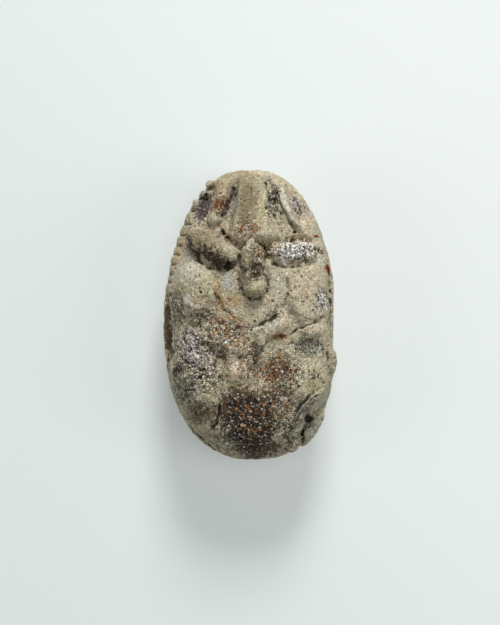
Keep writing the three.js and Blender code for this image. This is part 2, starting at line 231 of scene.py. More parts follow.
# name, places, wide, high
RIDGES = [
    ("left flank of the wedge", [(239.5, 182), (238.5, 192), (236, 203), (227, 215),
        (219.5, 222)], 3.6, 0.16),
    ("right flank of the wedge", [(261, 182), (265.3, 194), (265.5, 209), (270.5, 220),
        (278, 229)], 3.2, 0.14),
    ("crest of the right shin", [(277.5, 184), (279.5, 193), (283, 203), (287.5, 213), (293.5, 221),
        (303, 231.5)], 3.8, 0.24),
    ("band over the right thigh", [(286, 239.5), (291, 236.4), (295.5, 235), (303.8, 235.2),
        (312, 240)], 4, 0.26),
    ("ridge by the left rim", [(174, 300), (177.3, 310), (182, 320), (187, 326)], 1.9, 0.16),
    ("second ridge by the left rim", [(178, 300), (182, 309), (188, 319)], 1.9, 0.1),
    ("ridge under the left hind leg", [(187, 420.5), (193, 425.5), (200, 429)], 2.4, 0.12),
    ("ridge of the lower left rim", [(200, 434.5), (207, 440.5), (213.5, 446.5), (221, 452)], 2, 0.12),
    ("pale bar below the shield", [(247, 336), (255, 332), (262, 328.8), (270, 324), (277, 319),
        (285, 313)], 5, 0.18),
    ("top of the right hind leg", [(283, 350), (290, 355), (298, 358.5), (310, 359.5), (318, 357)], 4, 0.1),
    ("layer between the lines", [(322, 389.5), (313, 396.5), (303, 405), (297, 413.5), (291, 426),
        (285, 439)], 2.2, 0.1),
    ("tongue by the tail", [(309, 423.5), (301, 427.5), (294, 430.5), (288, 437)], 3, 0.16),
    ("edge of the toe", [(293, 429.5), (298, 431), (300.3, 437), (300.2, 445)], 2, 0.14),
    ("left thigh's upper edge", [(189, 234), (196, 229.5), (205, 231), (215, 235.5)], 4, 0.1),
    ("edge of the right plate", [(288.5, 275), (289.5, 285), (289.5, 295), (287, 304)], 3, 0.06),
    ("second bar below the shield", [(285, 337), (295, 333), (305, 328.5), (316, 323.5)], 3, 0.08),
]

# name, x, y, wide, long, thick, high
RINGS = [
    ("ring knob over the lug", 249.7, 247.6, 3.0, 5.2, 1.9, 0.2),
    ("ring on the belly lump", 260, 341.5, 3.6, 3.6, 1.7, 0.1),
    ("ring of the tail pit", 240.6, 438.2, 3.6, 3.4, 2.6, 0.24),
    ("ring of the pin hole", 321.7, 412.5, 2.6, 2.6, 1.4, 0.07),
]

# name, x, y, wide, long, turn, crown, deep
PITS = [
    ("purple recess", 205, 208, 7.2, 16, -14, 0.5, 0.3),
    ("hole at the wedge's left foot", 223, 232, 2.4, 3.2, 20, 0.2, 0.45),
    ("hole in the left cheek", 232.6, 188.3, 2.6, 2.2, 0, 0.2, 0.12),
    ("pit by the right thigh", 318.5, 250.5, 3.8, 3.8, 0, 0.3, 0.42),
    ("upper tail cavity", 308.7, 418.5, 2.7, 5.6, -45, 0.4, 0.85),
    ("lower tail cavity", 301.3, 432, 2.4, 3.8, -25, 0.4, 0.75),
    ("pin hole by the lobe", 321.7, 412.5, 1.8, 1.8, 0, 0.3, 0.4),
    ("pit with the pale ring", 240.3, 437.5, 2.2, 1.9, 0, 0.3, 0.55),
    ("worn top of the lug", 256, 272, 5.5, 9, 3, 0.2, 0.1),
    ("left belly hollow", 222, 353, 8, 11, 14, 0.1, 0.05),
    ("pit in the right hind leg", 295, 369.6, 1.5, 1.7, 0, 0.2, 0.32),
    ("second pit in it", 297.5, 386.5, 1.4, 1.4, 0, 0.2, 0.3),
    ("third pit in it", 323, 381.5, 2, 1.6, 0, 0.2, 0.25),
    ("pit in the left plate", 201.3, 292.5, 1.7, 1.5, 0, 0.2, 0.26),
    ("pit over the right thigh", 294.4, 232.8, 1.6, 1.4, 0, 0.2, 0.3),
    ("end of the crack", 212, 426.2, 3.2, 2.4, -30, 0.3, 0.42),
    ("chip by the left rim", 178, 368, 5, 6, 0, 0.2, 0.2),
    ("dark hollow below it", 192, 382, 5, 5, 0, 0.2, 0.16),
    ("rust hollow", 280, 336.5, 8.5, 4, 6, 0.1, 0.12),
    ("notch at the tail", 270.7, 456, 2.5, 3.4, 0, 0.2, 0.3),
    ("notch at the left rim", 169.2, 295, 3, 1.7, 0, 0.3, 0.3),
    ("hollow at the left thigh's foot", 228, 265.5, 6, 4.5, -10, 0.2, 0.22),
    ("hollow under the lug", 254, 304, 9, 3.5, 5, 0.2, 0.1),
    ("hollow by the shield", 276, 316, 5, 5, 30, 0.2, 0.14),
    ("tail hollow", 232, 406, 9, 6, 0, 0.1, 0.2),
    ("second tail hollow", 250, 400, 6, 8, 0, 0.1, 0.18),
    ("third tail hollow", 271, 420, 7, 6, 0, 0.1, 0.12),
    ("fourth tail hollow", 288, 405, 6, 7, -30, 0.1, 0.14),
]

# Stains and crusts, with painted shade at a few places: finish, x, y, wide, long, turn, strength
STAINS = [
    ("tan", 228, 173, 24, 4, 6, 0.8),
    ("rust", 226, 178, 12, 6, 0, 0.45),
    ("ochre", 219, 187, 6, 9, 0, 0.5),
    ("rust", 219.5, 205, 9, 11, 15, 0.8),
    ("rustbrown", 219.5, 205, 9, 13, 15, 0.9),
    ("purple", 205, 208, 7, 16, -14, 1.7),
    ("purple", 232, 196, 4, 14, -25, 0.8),
    ("purple", 213, 226, 9, 3, 0, 0.4),
    ("lilac", 233, 208, 3.5, 15, -32, 0.9),
    ("olive", 245, 205, 15, 32, -4, 1.1),
    ("yellow", 262, 212, 5.5, 19, -8, 0.9),
    ("rust", 246, 228, 12, 7, 0, 0.5),
    ("pale", 265, 201, 2.4, 20, -3, 0.8),
    ("dark", 272, 202, 6, 17, -8, 0.6),
    ("dark", 277, 218, 5, 7, 0, 0.6),
    ("dark", 266, 184, 1.6, 3, 30, 1.0),
    ("white", 272, 204, 6, 16, -8, 0.3),
    ("pale", 284.5, 209, 5, 22, 20, 1.3),
    ("umber", 290.5, 207, 1.0, 14, 25, 0.35),
    ("yellow", 297, 190, 4.5, 20, 44, 1.0),
    ("ochre", 283, 177, 8, 4, -30, 0.5),
    ("pink", 299, 208, 9, 15, 28, 0.5),
    ("lilac", 298, 208, 9, 16, 28, 0.7),
    ("purple", 294.5, 200, 4, 7, 35, 0.5),
    ("pink", 307, 224, 9, 11, 20, 0.7),
    ("greygreen", 321, 235, 2.6, 16, 13, 0.7),
    ("red", 314.5, 236.5, 1.3, 2.6, 45, 0.9),
    ("tan", 299, 237, 13, 3.2, 0, 0.8),
    ("rustbrown", 298, 241, 8, 1.5, 0, 0.8),
    ("red", 303.3, 240.8, 1.1, 1.1, 0, 0.8),
    ("crust", 295, 252.5, 22, 9.5, 0, 1.4),
    ("white", 290, 252, 28, 10, 0, 0.5),
    ("grey", 297, 253, 14, 6, 0, 0.45),
    ("rust", 276, 250, 7, 9, 0, 0.4),
    ("tan", 272, 248, 10, 10, 0, 0.5),
    ("pinkred", 212.5, 233.5, 6, 2.6, -5, 0.9),
    # Under the left front thigh these dark browns are partly grime and partly painted shade, where the
    # roll's lower half turns from the light.
    ("umber", 215, 259.5, 22, 7, -27.6, 1.5),
    ("dark", 214, 257, 22, 7, -27.6, 0.5),
    ("olive", 207, 246, 24, 12, -27.6, 1.2),
    ("umber", 189.5, 243, 2.2, 9, 25, 0.7),
    ("tan", 181, 247, 5, 28, -20, 0.8),
    ("lilac", 190, 250, 5, 9, 0, 0.4),
    ("lilac", 227, 267, 10, 5, -10, 0.8),
    ("purple", 232, 263, 7, 4, 0, 0.6),
    ("bluish", 228, 280, 10, 15, 0, 1.0),
    ("olive", 252, 268, 11, 18, 0, 0.95),
    ("umber", 256, 274, 7.5, 10, 3, 1.4),
    ("umber", 241, 276, 3, 16, 0, 0.7),
    ("yellow", 255, 290, 10, 7, 0, 0.9),
    ("olive", 254, 295, 9, 5, 0, 0.6),
    ("yellow", 249.7, 247.5, 2.5, 4.5, 0, 0.5),
    ("tan", 262, 250, 12, 9, 0, 0.6),
    ("pink", 269, 285, 3.5, 14, 0, 0.6),
    ("rust", 267.5, 283, 3.5, 10, 0, 0.4),
    ("pale", 278, 286, 7, 15, 0, 0.9),
    ("pink", 304, 286, 16, 20, 0, 0.8),
    ("rust", 291, 276, 5, 8, 0, 0.25),
    ("pale", 318, 262, 8, 6, 0, 0.6),
    ("white", 320.5, 301, 9, 11, 0, 1.3),
    ("crust", 320.5, 301, 6.5, 9, 0, 0.75),
    ("dark", 320.5, 301, 8, 10, 0, 0.25),
    ("sand", 300, 312, 16, 10, 20, 0.7),
    ("pale", 191, 272, 18, 14, 0, 0.8),
    ("yellow", 204, 284, 14, 16, 0, 0.35),
    ("rust", 186, 291, 5, 4, 0, 0.6),
    ("pale", 190, 306, 12, 12, 0, 0.6),
    ("white", 177, 309, 5, 15, 22, 0.6),
    ("dark", 177, 309, 5, 15, 22, 0.5),
    ("rust", 203, 317, 9, 5.5, 0, 0.6),
    ("umber", 202, 321, 9, 3.5, 0, 0.4),
    ("white", 225, 328, 17, 8, -20, 0.6),
    ("rust", 226, 331, 18, 9, -25, 0.6),
    ("umber", 210, 334, 8, 5, -40, 0.4),
    ("ochre", 215.5, 289, 2.2, 13, 0, 1.2),
    ("ochre", 219.5, 305, 2.4, 9, 24, 1.4),
    ("rustgrain", 220, 306, 5, 12, 24, 0.5),
    ("ochre", 229, 300, 11, 8, 0, 0.55),
    ("ochre", 236, 317, 11, 3, -20, 0.95),
    ("rust", 240, 319, 9, 3, -10, 0.5),
    ("umber", 166.5, 330, 6, 36, 0, 1.2),
    ("rustbrown", 168, 330, 4, 30, 0, 0.6),
    ("lilac", 194, 350, 18, 24, 16, 1.0),
    ("white", 203, 368, 19, 17, 16, 0.55),
    ("white", 196, 340, 14, 12, 16, 0.35),
    ("dark", 190, 360, 20, 26, 0, 0.3),
    ("dark", 178, 369, 7, 9, 0, 0.8),
    ("dark", 193, 383, 7, 6, 0, 0.7),
    ("grey", 190, 393, 19, 18, 0, 0.6),
    ("olive", 204, 412, 18, 12, 20, 0.9),
    ("rust", 200, 412, 16, 10, 20, 0.25),
    ("dark", 188, 400, 16, 18, 0, 0.5),
    ("umber", 204, 443, 22, 3, -37, 0.6),
    ("greygreen", 213, 440, 14, 3, -37, 0.6),
    # Painted shade in the soft valley by the left hind leg.
    ("umber", 221, 355, 8, 13, 20, 0.5),
    ("rust", 221, 347, 8, 10, 10, 0.5),
    ("umber", 210, 345, 3.5, 14, 35, 0.6),
    ("pink", 236, 373, 14, 14, 0, 0.6),
    ("pale", 238, 352, 7, 6, 0, 0.6),
    ("rust", 255, 362, 15, 30, 0, 0.45),
    ("rust", 245, 338, 8, 8, 0, 0.4),
    ("pale", 265, 326.5, 20, 4.5, 30, 0.95),
    ("pale", 260, 350, 8, 8, 0, 0.4),
    ("rustgrain", 280, 336.5, 9, 5, 5, 0.8),
    ("rustbrown", 280, 336.5, 9, 4.5, 5, 0.8),
    ("rust", 280, 368, 16, 15, 0, 0.65),
    ("white", 281, 373, 14, 14, 0, 0.3),
    ("umber", 278, 368, 10, 10, 0, 0.35),
    ("grey", 308, 346, 18, 11, 0, 0.9),
    ("dark", 312, 346, 14, 9, 0, 0.2),
    ("pink", 313, 330, 11, 5, 22, 1.0),
    ("yellow", 311, 380, 16, 16, 0, 0.6),
    ("rust", 298, 384, 8, 14, 0, 0.35),
    ("umber", 244, 408, 28, 22, 0, 1.9),
    ("brown clumps", 254, 416, 38, 36, 0, 0.4),
    ("brown clumps", 276, 370, 20, 22, 0, 0.62),
    ("brown clumps", 234, 338, 24, 30, 0, 0.5),
    ("brown clumps", 226, 320, 30, 13, -25, 0.55),
    ("brown clumps", 200, 405, 16, 18, 0, 0.5),
    ("brown clumps", 202, 312, 14, 9, 0, 0.5),
    ("brown clumps", 219, 205, 9, 16, 15, 0.6),
    ("brown clumps", 244, 232, 16, 8, 0, 0.5),
    ("umber", 299, 408.5, 1.0, 27, -33, 0.55),
    ("pale", 301.5, 410.5, 1.1, 25, -33, 0.6),
    ("umber", 304, 412.5, 0.9, 24, -33, 0.5),
    ("pale", 306.5, 414.5, 1.1, 20, -33, 0.55),
    ("pale", 296, 406, 1.2, 24, -33, 0.5),
    ("umber", 308.5, 416.5, 0.9, 14, -33, 0.5),
    ("umber", 280, 398, 14, 14, 0, 0.6),
    ("umber", 258, 447, 27, 12, 0, 1.2),
    ("umber", 252, 424, 36, 26, 0, 0.75),
    ("rust", 264, 412, 30, 32, 0, 0.45),
    ("rustgrain", 260, 412, 38, 36, 0, 0.36),
    ("cream", 252, 420, 42, 38, 0, 0.38),
    ("white", 262, 408, 34, 34, 0, 0.1),
    ("rustgrain", 232, 330, 30, 16, -20, 0.5),
    ("rustgrain", 247, 362, 26, 34, 0, 0.42),
    ("rustgrain", 278, 372, 22, 24, 0, 0.6),
    ("cream", 240, 350, 34, 40, 0, 0.45),
    ("white", 236, 345, 26, 30, 0, 0.16),
    ("rustgrain", 200, 308, 18, 14, 0, 0.3),
    ("rustgrain", 246, 230, 14, 8, 0, 0.5),
    ("rustgrain", 266, 250, 14, 12, 0, 0.4),
    ("cream", 266, 250, 14, 12, 0, 0.4),
    ("rustgrain", 204, 410, 16, 12, 20, 0.3),
    ("cream", 198, 400, 22, 26, 0, 0.3),
    ("rustgrain", 230, 304, 14, 10, 0, 0.3),
    ("cream", 300, 400, 24, 30, 0, 0.25),
    ("cream", 305, 347, 20, 12, 0, 0.3),
    ("rustgrain", 228, 238, 8, 6, -30, 0.6),
    ("rustgrain", 218, 205, 8, 12, 15, 0.4),
    ("dark", 250, 424, 40, 40, 0, 0.85),
    ("dark", 205, 208, 8, 15, 14, 0.5),
    ("dark", 202, 408, 17, 15, 20, 0.55),
    ("dark", 300, 210, 11, 16, 28, 0.55),
    ("rust", 301, 206, 9, 13, 28, 0.4),
    ("dark", 257, 273, 9, 10, 0, 0.75),
    ("dark", 312, 374, 15, 15, 0, 0.6),
    ("dark", 240, 226, 10, 10, 0, 0.45),
    ("dark", 277, 370, 18, 20, 0, 0.35),
    ("dark", 258, 446, 30, 12, 0, 0.5),
    ("grey", 231, 436, 9, 8, 0, 0.7),
    ("crust", 241, 438.5, 5, 4.8, 0, 1.7),
    ("dark", 240.3, 437.5, 1.8, 1.6, 0, 1.5),
    ("pale", 223, 395, 5, 8, 0, 0.5),
    ("greygreen", 325, 399, 8, 15, -8, 1.1),
    ("greygreen", 313, 431, 10, 20, -28, 0.9),
    ("grey", 293, 421, 9, 38, -33, 0.8),
    ("sand", 301, 402, 5, 20, -42, 0.6),
    ("pale", 301, 426.5, 8, 2.6, 22, 0.7),
    # Painted shade beside the two tail cavities.
    ("umber", 306, 424, 4, 12, -35, 0.7),
    ("umber", 290, 446, 6, 8, -30, 0.4),
    ("red", 328.4, 268.3, 1.5, 4.6, 17, 2.0),
    ("red", 177, 268, 1.1, 1.1, 0, 0.8),
    ("umber", 328.5, 300, 1.1, 34, 0, 0.3),
    ("greygreen", 332, 300, 2.2, 50, 0, 0.7),
    ("grey", 329, 360, 5, 14, 0, 0.6),
    ("umber", 318.5, 250.5, 3.6, 3.8, 0, 1.0),
    ("purple", 318.5, 250.5, 3.6, 3.8, 0, 0.6),
    ("umber", 223, 232, 3, 4, 0, 0.9),
    ("umber", 231, 240, 9, 2.4, -30, 0.8),
    ("umber", 216.5, 416, 2.2, 11, -28, 1.0),
]

# Where the grains are coarse and loose: x, y, wide, long, turn, strength
GRIT = [
    (194, 352, 22, 26, 16, 1.0),
    (208, 376, 20, 16, 0, 1.0),
    (186, 384, 14, 20, 0, 0.85),
    (226, 330, 20, 10, -20, 0.85),
    (177, 307, 8, 17, 0, 0.8),
    (308, 347, 18, 12, 0, 0.75),
    (294, 252, 22, 12, 0, 0.8),
    (321, 300, 9, 11, 0, 0.9),
    (250, 422, 36, 32, 0, 0.7),
    (280, 374, 22, 22, 0, 0.8),
    (272, 203, 7, 18, -8, 1.0),
    (202, 412, 18, 12, 0, 0.5),
    (250, 355, 12, 28, 0, 0.7),
    (228, 345, 14, 12, 0, 0.6),
    (220, 205, 9, 13, 15, 0.6),
    (246, 230, 14, 8, 0, 0.6),
    (262, 252, 14, 10, 0, 0.7),
    (205, 317, 14, 8, 0, 0.7),
    (270, 405, 20, 20, 0, 0.8),
    (295, 415, 10, 34, -33, 0.5),
    (256, 272, 6, 11, 3, 0.6),
    (212, 258, 20, 5, -27.6, 0.3),
    (267, 283, 4, 12, 0, 0.6),
    (268, 318, 14, 6, 30, 0.6),
    (292, 442, 7, 10, -20, 0.5),
]

# Layers of the weathered skin: name, size and strength in millimetres, and the points that take it,
# where it doesn't lie all over.
SOFT_LAYERS = [("lumps", 1.2, 0.18, ""), ("knobbles", 0.42, 0.15, "")]
GRAIN_LAYERS = [
    ("clods", 0.42, 0.28, "coarse"),
    ("grains", 0.24, 0.07, ""),
    ("loose grains", 0.22, 0.12, "coarse"),
]

# Colour of each finish as it looks in daylight, in 8-bit sRGB, and how much of the body it covers
# where it is strongest.
FINISHES = {
    "tan": ((188, 160, 118), 0.85),
    "olive": ((134, 121, 90), 0.9),
    "sand": ((190, 182, 152), 0.85),
    "grey": ((158, 156, 138), 0.9),
    "greygreen": ((170, 172, 152), 0.95),
    "pale": ((206, 202, 184), 0.85),
    "bluish": ((186, 184, 170), 0.9),
    "pink": ((212, 192, 166), 0.85),
    "lilac": ((174, 165, 158), 0.9),
    "yellow": ((198, 188, 144), 0.85),
    "ochre": ((186, 150, 100), 0.85),
    "rustbrown": ((140, 102, 72), 0.85),
    "purple": ((86, 72, 72), 0.95),
    "crust": ((242, 238, 226), 1.0),
    # This dark brown is stain colour and, at a few places, painted shade.
    "umber": ((78, 59, 38), 0.92),
    "pinkred": ((178, 128, 104), 0.8),
    "rust": ((130, 84, 44), 0.8),
    "dark": ((40, 31, 21), 0.9),
    "brown clumps": ((130, 92, 54), 0.8),
    "rustgrain": ((142, 94, 48), 0.85),
    "cream": ((214, 196, 160), 0.85),
    "white": ((244, 242, 236), 0.9),
    "red": ((120, 30, 14), 1.0),
}
# Finishes that lie in irregular blots between the grains, and how many blots there are in a metre.
MOTTLES = {"rust": 2500, "dark": 3000, "cream": 3400, "brown clumps": 2400}
# Finishes that take single grains, and the share of them where the finish is strongest.
SINGLE_GRAINS = {"rustgrain": 0.5, "white": 0.3}
BODY_COLOUR = (198, 186, 158)
BODY_SHADE = (172, 162, 132)
# This near-black is grime in the hollows, and painted shade in hollows, grain pits and between grains.
DIRT_AND_SHADE_COLOUR = (48, 38, 27)

LENS, SENSOR = 200.0, 36.0
FRAME_SHARE = 625 / 289.5  # height of the photograph's frame, in lengths of the amulet
DROP_SHARE = 2.25 / 625  # the amulet lies this share of the frame below its middle


def smoothstep(value, start, end):
    t = np.clip((value - start) / (end - start), 0.0, 1.0)
    return t * t * (3 - 2 * t)


def bell(value, middle, half):
    return np.exp(-(((value - middle) / half) ** 2))


def outline(v, right):
    """Half width of the outline as a share of half the width. The right side is worn straighter."""
    head = (1 - np.clip(v, 0, 1) ** 1.6) ** 0.39
    tail = (1 - np.clip(-v, 0, 1) ** 2.6) ** np.where(right, 0.38, 0.47)
    share = np.where(v > 0, head, tail)
    return np.where(right, np.minimum(share, 0.957), share)


def ledge(v, right):
    """The narrow ledge of the wing cases beside the legs, as a share of half the width."""
    left_ledge = 0.015 + 0.085 * bell(v, -0.1, 0.2) + 0.08 * bell(v, -0.88, 0.1)
    right_ledge = 0.015 + 0.045 * bell(v, 0.12, 0.3) + 0.16 * bell(v, -0.8, 0.15)
    return np.where(right, right_ledge, left_ledge)


def place_on_body(x, y):
    """A place noted in the photograph, as shares of the body."""
    u = (x - PHOTO_MIDDLE_X) / PHOTO_HALF_WIDTH
    v = (PHOTO_MIDDLE_Y - y) / PHOTO_HALF_LENGTH
    return round(u, 3), round(v, 3)


def line_on_body(places):
    return [place_on_body(x, y) for x, y in places]


def half_share(pixels):
    return round(pixels / PHOTO_HALF_LENGTH, 4)


def length_share(pixels):
    return round(pixels / (2 * PHOTO_HALF_LENGTH), 4)


def depth_share(millimetres):
    return round(millimetres / NOTED_LENGTH, 4)


def egg_on_body(x, y, wide, long, turn=0):
    """An egg-shaped place noted in the photograph, as reach() takes it."""
    return *place_on_body(x, y), half_share(wide), half_share(long), turn


def reach(x, y, u, v, wide, long, turn):
    """Distance from the middle of an egg-shaped place: 1 at its edge."""
    angle = math.radians(turn)
    dx = x - u * HALF_WIDTH
    dy = y - v * HALF_LENGTH
    across = (dx * math.cos(angle) + dy * math.sin(angle)) / (wide * HALF_LENGTH)
    along = (dy * math.cos(angle) - dx * math.sin(angle)) / (long * HALF_LENGTH)
    return np.hypot(across, along)


def wedge_rise(x, y):
    """The head wedge widens from the snout to the front legs, with steep flanks."""
    v = y / HALF_LENGTH
    down = np.clip((0.95 - v) / 0.43, 0, 1)
    half = (0.042 + 0.058 * down ** 1.3) * LENGTH
    sides = 1 - smoothstep(np.abs(x - 0.018 * LENGTH * down), half - 0.014 * LENGTH, half)
    return 0.044 * LENGTH * sides * smoothstep(v, 0.45, 0.56)


def belly_rise(x, y):
    """Height of the underside above the rim: a broad crown with steep sides, and the carving."""
    v = y / HALF_LENGTH
    right = x > 0
    half = np.maximum(outline(v, right) * (1 - ledge(v, right)) * HALF_WIDTH, 1e-6)
    cross = (1 - np.clip(np.abs(x) / half, 0, 1) ** 3.4) ** 0.5
    head = (1 - np.clip(v, 0, 1) ** 14) ** 0.5 * (1 - 0.5 * smoothstep(v, 0.1, 1.05))
    tail = (1 - np.clip(-v, 0, 1) ** 4.5) ** 0.55
    long = np.where(v > 0, head, tail)
    carved = wedge_rise(x, y)
    for name, *place, rise, crown in SWELLINGS:
        carved = carved + rise * LENGTH * (1 - smoothstep(reach(x, y, *place), crown, 1))
    return BELLY_RISE * cross * long + carved * np.minimum(1, 2 * cross) * np.minimum(1, 1.5 * long)


def back_fall(x, y):
    """Depth of the domed back below the rim."""
    v = y / HALF_LENGTH
    half = np.maximum(outline(v, x > 0) * HALF_WIDTH, 1e-6)
    cross = (1 - np.clip(np.abs(x) / half, 0, 1) ** 2.4) ** 0.62
    long = (1 - np.clip(np.abs(v), 0, 1) ** 2.8) ** 0.5
    return np.minimum((BACK_DEPTH + REST_WEAR) * cross * long, BACK_DEPTH)


def on_belly(u, v, lift=0.0):
    x = u * HALF_WIDTH
    y = v * HALF_LENGTH
    rise = float(belly_rise(np.array([x]), np.array([y]))[0])
    return Vector((x, y, RIM_Z + rise + lift * LENGTH))


def points_of(piece):
    co = np.empty(len(piece.data.vertices) * 3)
    piece.data.vertices.foreach_get("co", co)
    return co.reshape(-1, 3)


def normals_of(piece):
    directions = np.empty(len(piece.data.vertices) * 3)
    piece.data.vertices.foreach_get("normal", directions)
    return directions.reshape(-1, 3)


def move_points(piece, co):
    piece.data.vertices.foreach_set("co", co.ravel())
    piece.data.update()


def apply_modifier(piece, kind, **values):
    modifier = piece.modifiers.new(kind.title(), kind)
    for key, value in values.items():
        setattr(modifier, key, value)
    bpy.context.view_layer.objects.active = piece
    bpy.ops.object.modifier_apply(modifier=modifier.name)


def ball(segments, rings):
    bpy.ops.object.select_all(action="DESELECT")
    bpy.ops.mesh.primitive_uv_sphere_add(segments=segments, ring_count=rings, radius=1)
    return bpy.context.object


def body():
    """A ball whose poles are the head and the tail, drawn out to the egg-shaped outline."""
    piece = ball(BODY_SEGMENTS, BODY_RINGS)
    co = points_of(piece)
    lap = np.arctan2(co[:, 1], co[:, 0]) / math.pi
    belly = np.abs(lap) <= BELLY_SHARE
    on_back = np.sign(lap) * (1 - np.abs(lap)) / (1 - BELLY_SHARE)
    across = np.where(belly, lap / BELLY_SHARE, on_back)
    along = 1 - 2 * np.arccos(np.clip(co[:, 2], -1, 1)) / math.pi
    u, v = (0.4 * np.sin(t * math.pi / 2) + 0.6 * t for t in (across, along))
    x = u * outline(v, u > 0) * HALF_WIDTH
    y = v * HALF_LENGTH
    z = RIM_Z + np.where(belly, belly_rise(x, y), -back_fall(x, y))
    move_points(piece, np.column_stack((x, y, z)))
    return piece


def bar(start, end, wide, high):
    """A rounded bar from one point to another, such as a thigh, a shin or the lug."""
    piece = ball(BAR_SEGMENTS, BAR_RINGS)
    along = end - start
    side = Vector((0, 0, 1)).cross(along).normalized()
    forward = along.normalized()
    co = points_of(piece)
    co *= (wide * HALF_LENGTH, high * HALF_LENGTH, wide * HALF_LENGTH)
    co[:, 2] += np.sign(co[:, 2]) * along.length / 2
    turned = Matrix((side, forward.cross(side), forward)).transposed()
    move_points(piece, co @ np.array(turned.transposed()) + np.array((start + end) / 2))
    return piece


def bars(places, wide, high, lift):
    spots = [on_belly(u, v, lift) for u, v in places]
    return [bar(start, end, wide, high) for start, end in zip(spots, spots[1:])]


def pierced(lug):
    """Drills the string hole across the lug, just above the breast shield."""
    middle = points_of(lug)
    middle = (middle.min(axis=0) + middle.max(axis=0)) / 2
    seat = on_belly(middle[0] / HALF_WIDTH, middle[1] / HALF_LENGTH)
    spot = (seat.x, seat.y, seat.z + STRING_HOLE_SEAT + STRING_HOLE / 2)
    bpy.ops.object.select_all(action="DESELECT")
    bpy.ops.mesh.primitive_cylinder_add(vertices=DRILL_SEGMENTS, radius=STRING_HOLE / 2, depth=0.2 * LENGTH,
                                        location=spot, rotation=(0, math.pi / 2, 0))
    drill = bpy.context.object
    bpy.ops.object.transform_apply(location=True, rotation=True, scale=True)
    apply_modifier(lug, "BOOLEAN", operation="DIFFERENCE", object=drill, solver="EXACT")
    bpy.data.objects.remove(drill)
    return lug


def lump(point, wide, long, high, turn):
    piece = ball(LUMP_SEGMENTS, LUMP_RINGS)
    piece.scale = (wide * HALF_LENGTH, long * HALF_LENGTH, high * HALF_LENGTH)
    piece.rotation_euler.z = math.radians(turn)
    piece.location = point
    bpy.ops.object.transform_apply(location=True, rotation=True, scale=True)
    return piece


def fused(pieces):
    """Joins overlapping forms into one skin, and rounds the joints as wear does."""
    bpy.ops.object.select_all(action="DESELECT")
    for piece in pieces:
        piece.select_set(True)
    bpy.context.view_layer.objects.active = pieces[0]
    bpy.ops.object.join()
    whole = bpy.context.object
    apply_modifier(whole, "REMESH", mode="VOXEL", voxel_size=VOXEL)
    apply_modifier(whole, "SMOOTH", factor=0.5, iterations=WEAR_ROUNDS)
    return whole


def thin_back(piece):
    """Fewer facets on the hidden, plainer back."""
    bpy.ops.object.select_all(action="DESELECT")
    piece.select_set(True)
    bpy.context.view_layer.objects.active = piece
    directions = np.empty(len(piece.data.polygons) * 3)
    centres = np.empty(len(piece.data.polygons) * 3)
    piece.data.polygons.foreach_get("normal", directions)
    piece.data.polygons.foreach_get("center", centres)
    centres = centres.reshape(-1, 3)
    below = (directions.reshape(-1, 3)[:, 2] < 0.1) & (centres[:, 2] < RIM_Z)
    plain = back_line_depth(centres[:, 0], centres[:, 1]) < 0.02
    piece.data.polygons.foreach_set("select", below & plain)
    bpy.ops.object.mode_set(mode="EDIT")
    bpy.ops.mesh.select_mode(type="FACE")
    bpy.ops.mesh.decimate(ratio=BACK_SHARE)
    bpy.ops.object.mode_set(mode="OBJECT")


def ripples(co, size, seed):
    """A smooth random value for each point, from about -1 to 1, in ripples of the given size."""
    shift = seed * 17.3
    return np.array([noise.noise((x / size + shift, y / size, z / size)) for x, y, z in co]) * 1.6


def line_distance(x, y, places):
    """Distance to a line through the places, which are shares of the body, and how far along it is."""
    nearest = np.full(x.shape, 1e9)
    part_of_line = np.zeros(x.shape)
    spots = [np.array((u * HALF_WIDTH, v * HALF_LENGTH)) for u, v in places]
    for i, (start, end) in enumerate(zip(spots, spots[1:])):
        step = end - start
        part = ((x - start[0]) * step[0] + (y - start[1]) * step[1]) / (step @ step)
        part = np.clip(part, 0, 1)
        away = np.hypot(x - start[0] - part * step[0], y - start[1] - part * step[1])
        closer = away < nearest
        nearest = np.where(closer, away, nearest)
        part_of_line = np.where(closer, (i + part) / (len(spots) - 1), part_of_line)
    return nearest, part_of_line


def curve_through(places, steps=5):
    """More places on a smooth curve through the given ones."""
    ends = [places[0], *places, places[-1]]
    dense = []
    for a, b, c, d in zip(ends, ends[1:], ends[2:], ends[3:]):
        for i in range(steps):
            t = i / steps
            dense.append(tuple(
                0.5 * (2 * q + (r - p) * t + (2 * p - 5 * q + 4 * r - s) * t ** 2
                       + (3 * q - p - 3 * r + s) * t ** 3)
                for p, q, r, s in zip(a, b, c, d)))
    return dense + [places[-1]]


def line_profile(x, y, places, pixels):
    """1 in the middle of a noted line, falling to 0 beside it and tapering at its ends."""
    away, part = line_distance(x, y, curve_through(line_on_body(places)))
    wide = length_share(pixels)
    taper = np.clip(5 * np.minimum(part, 1 - part) + 0.25, 0, 1)
    return taper * np.exp(-(away / (0.5 * wide * LENGTH * (0.55 + 0.45 * taper))) ** 2)


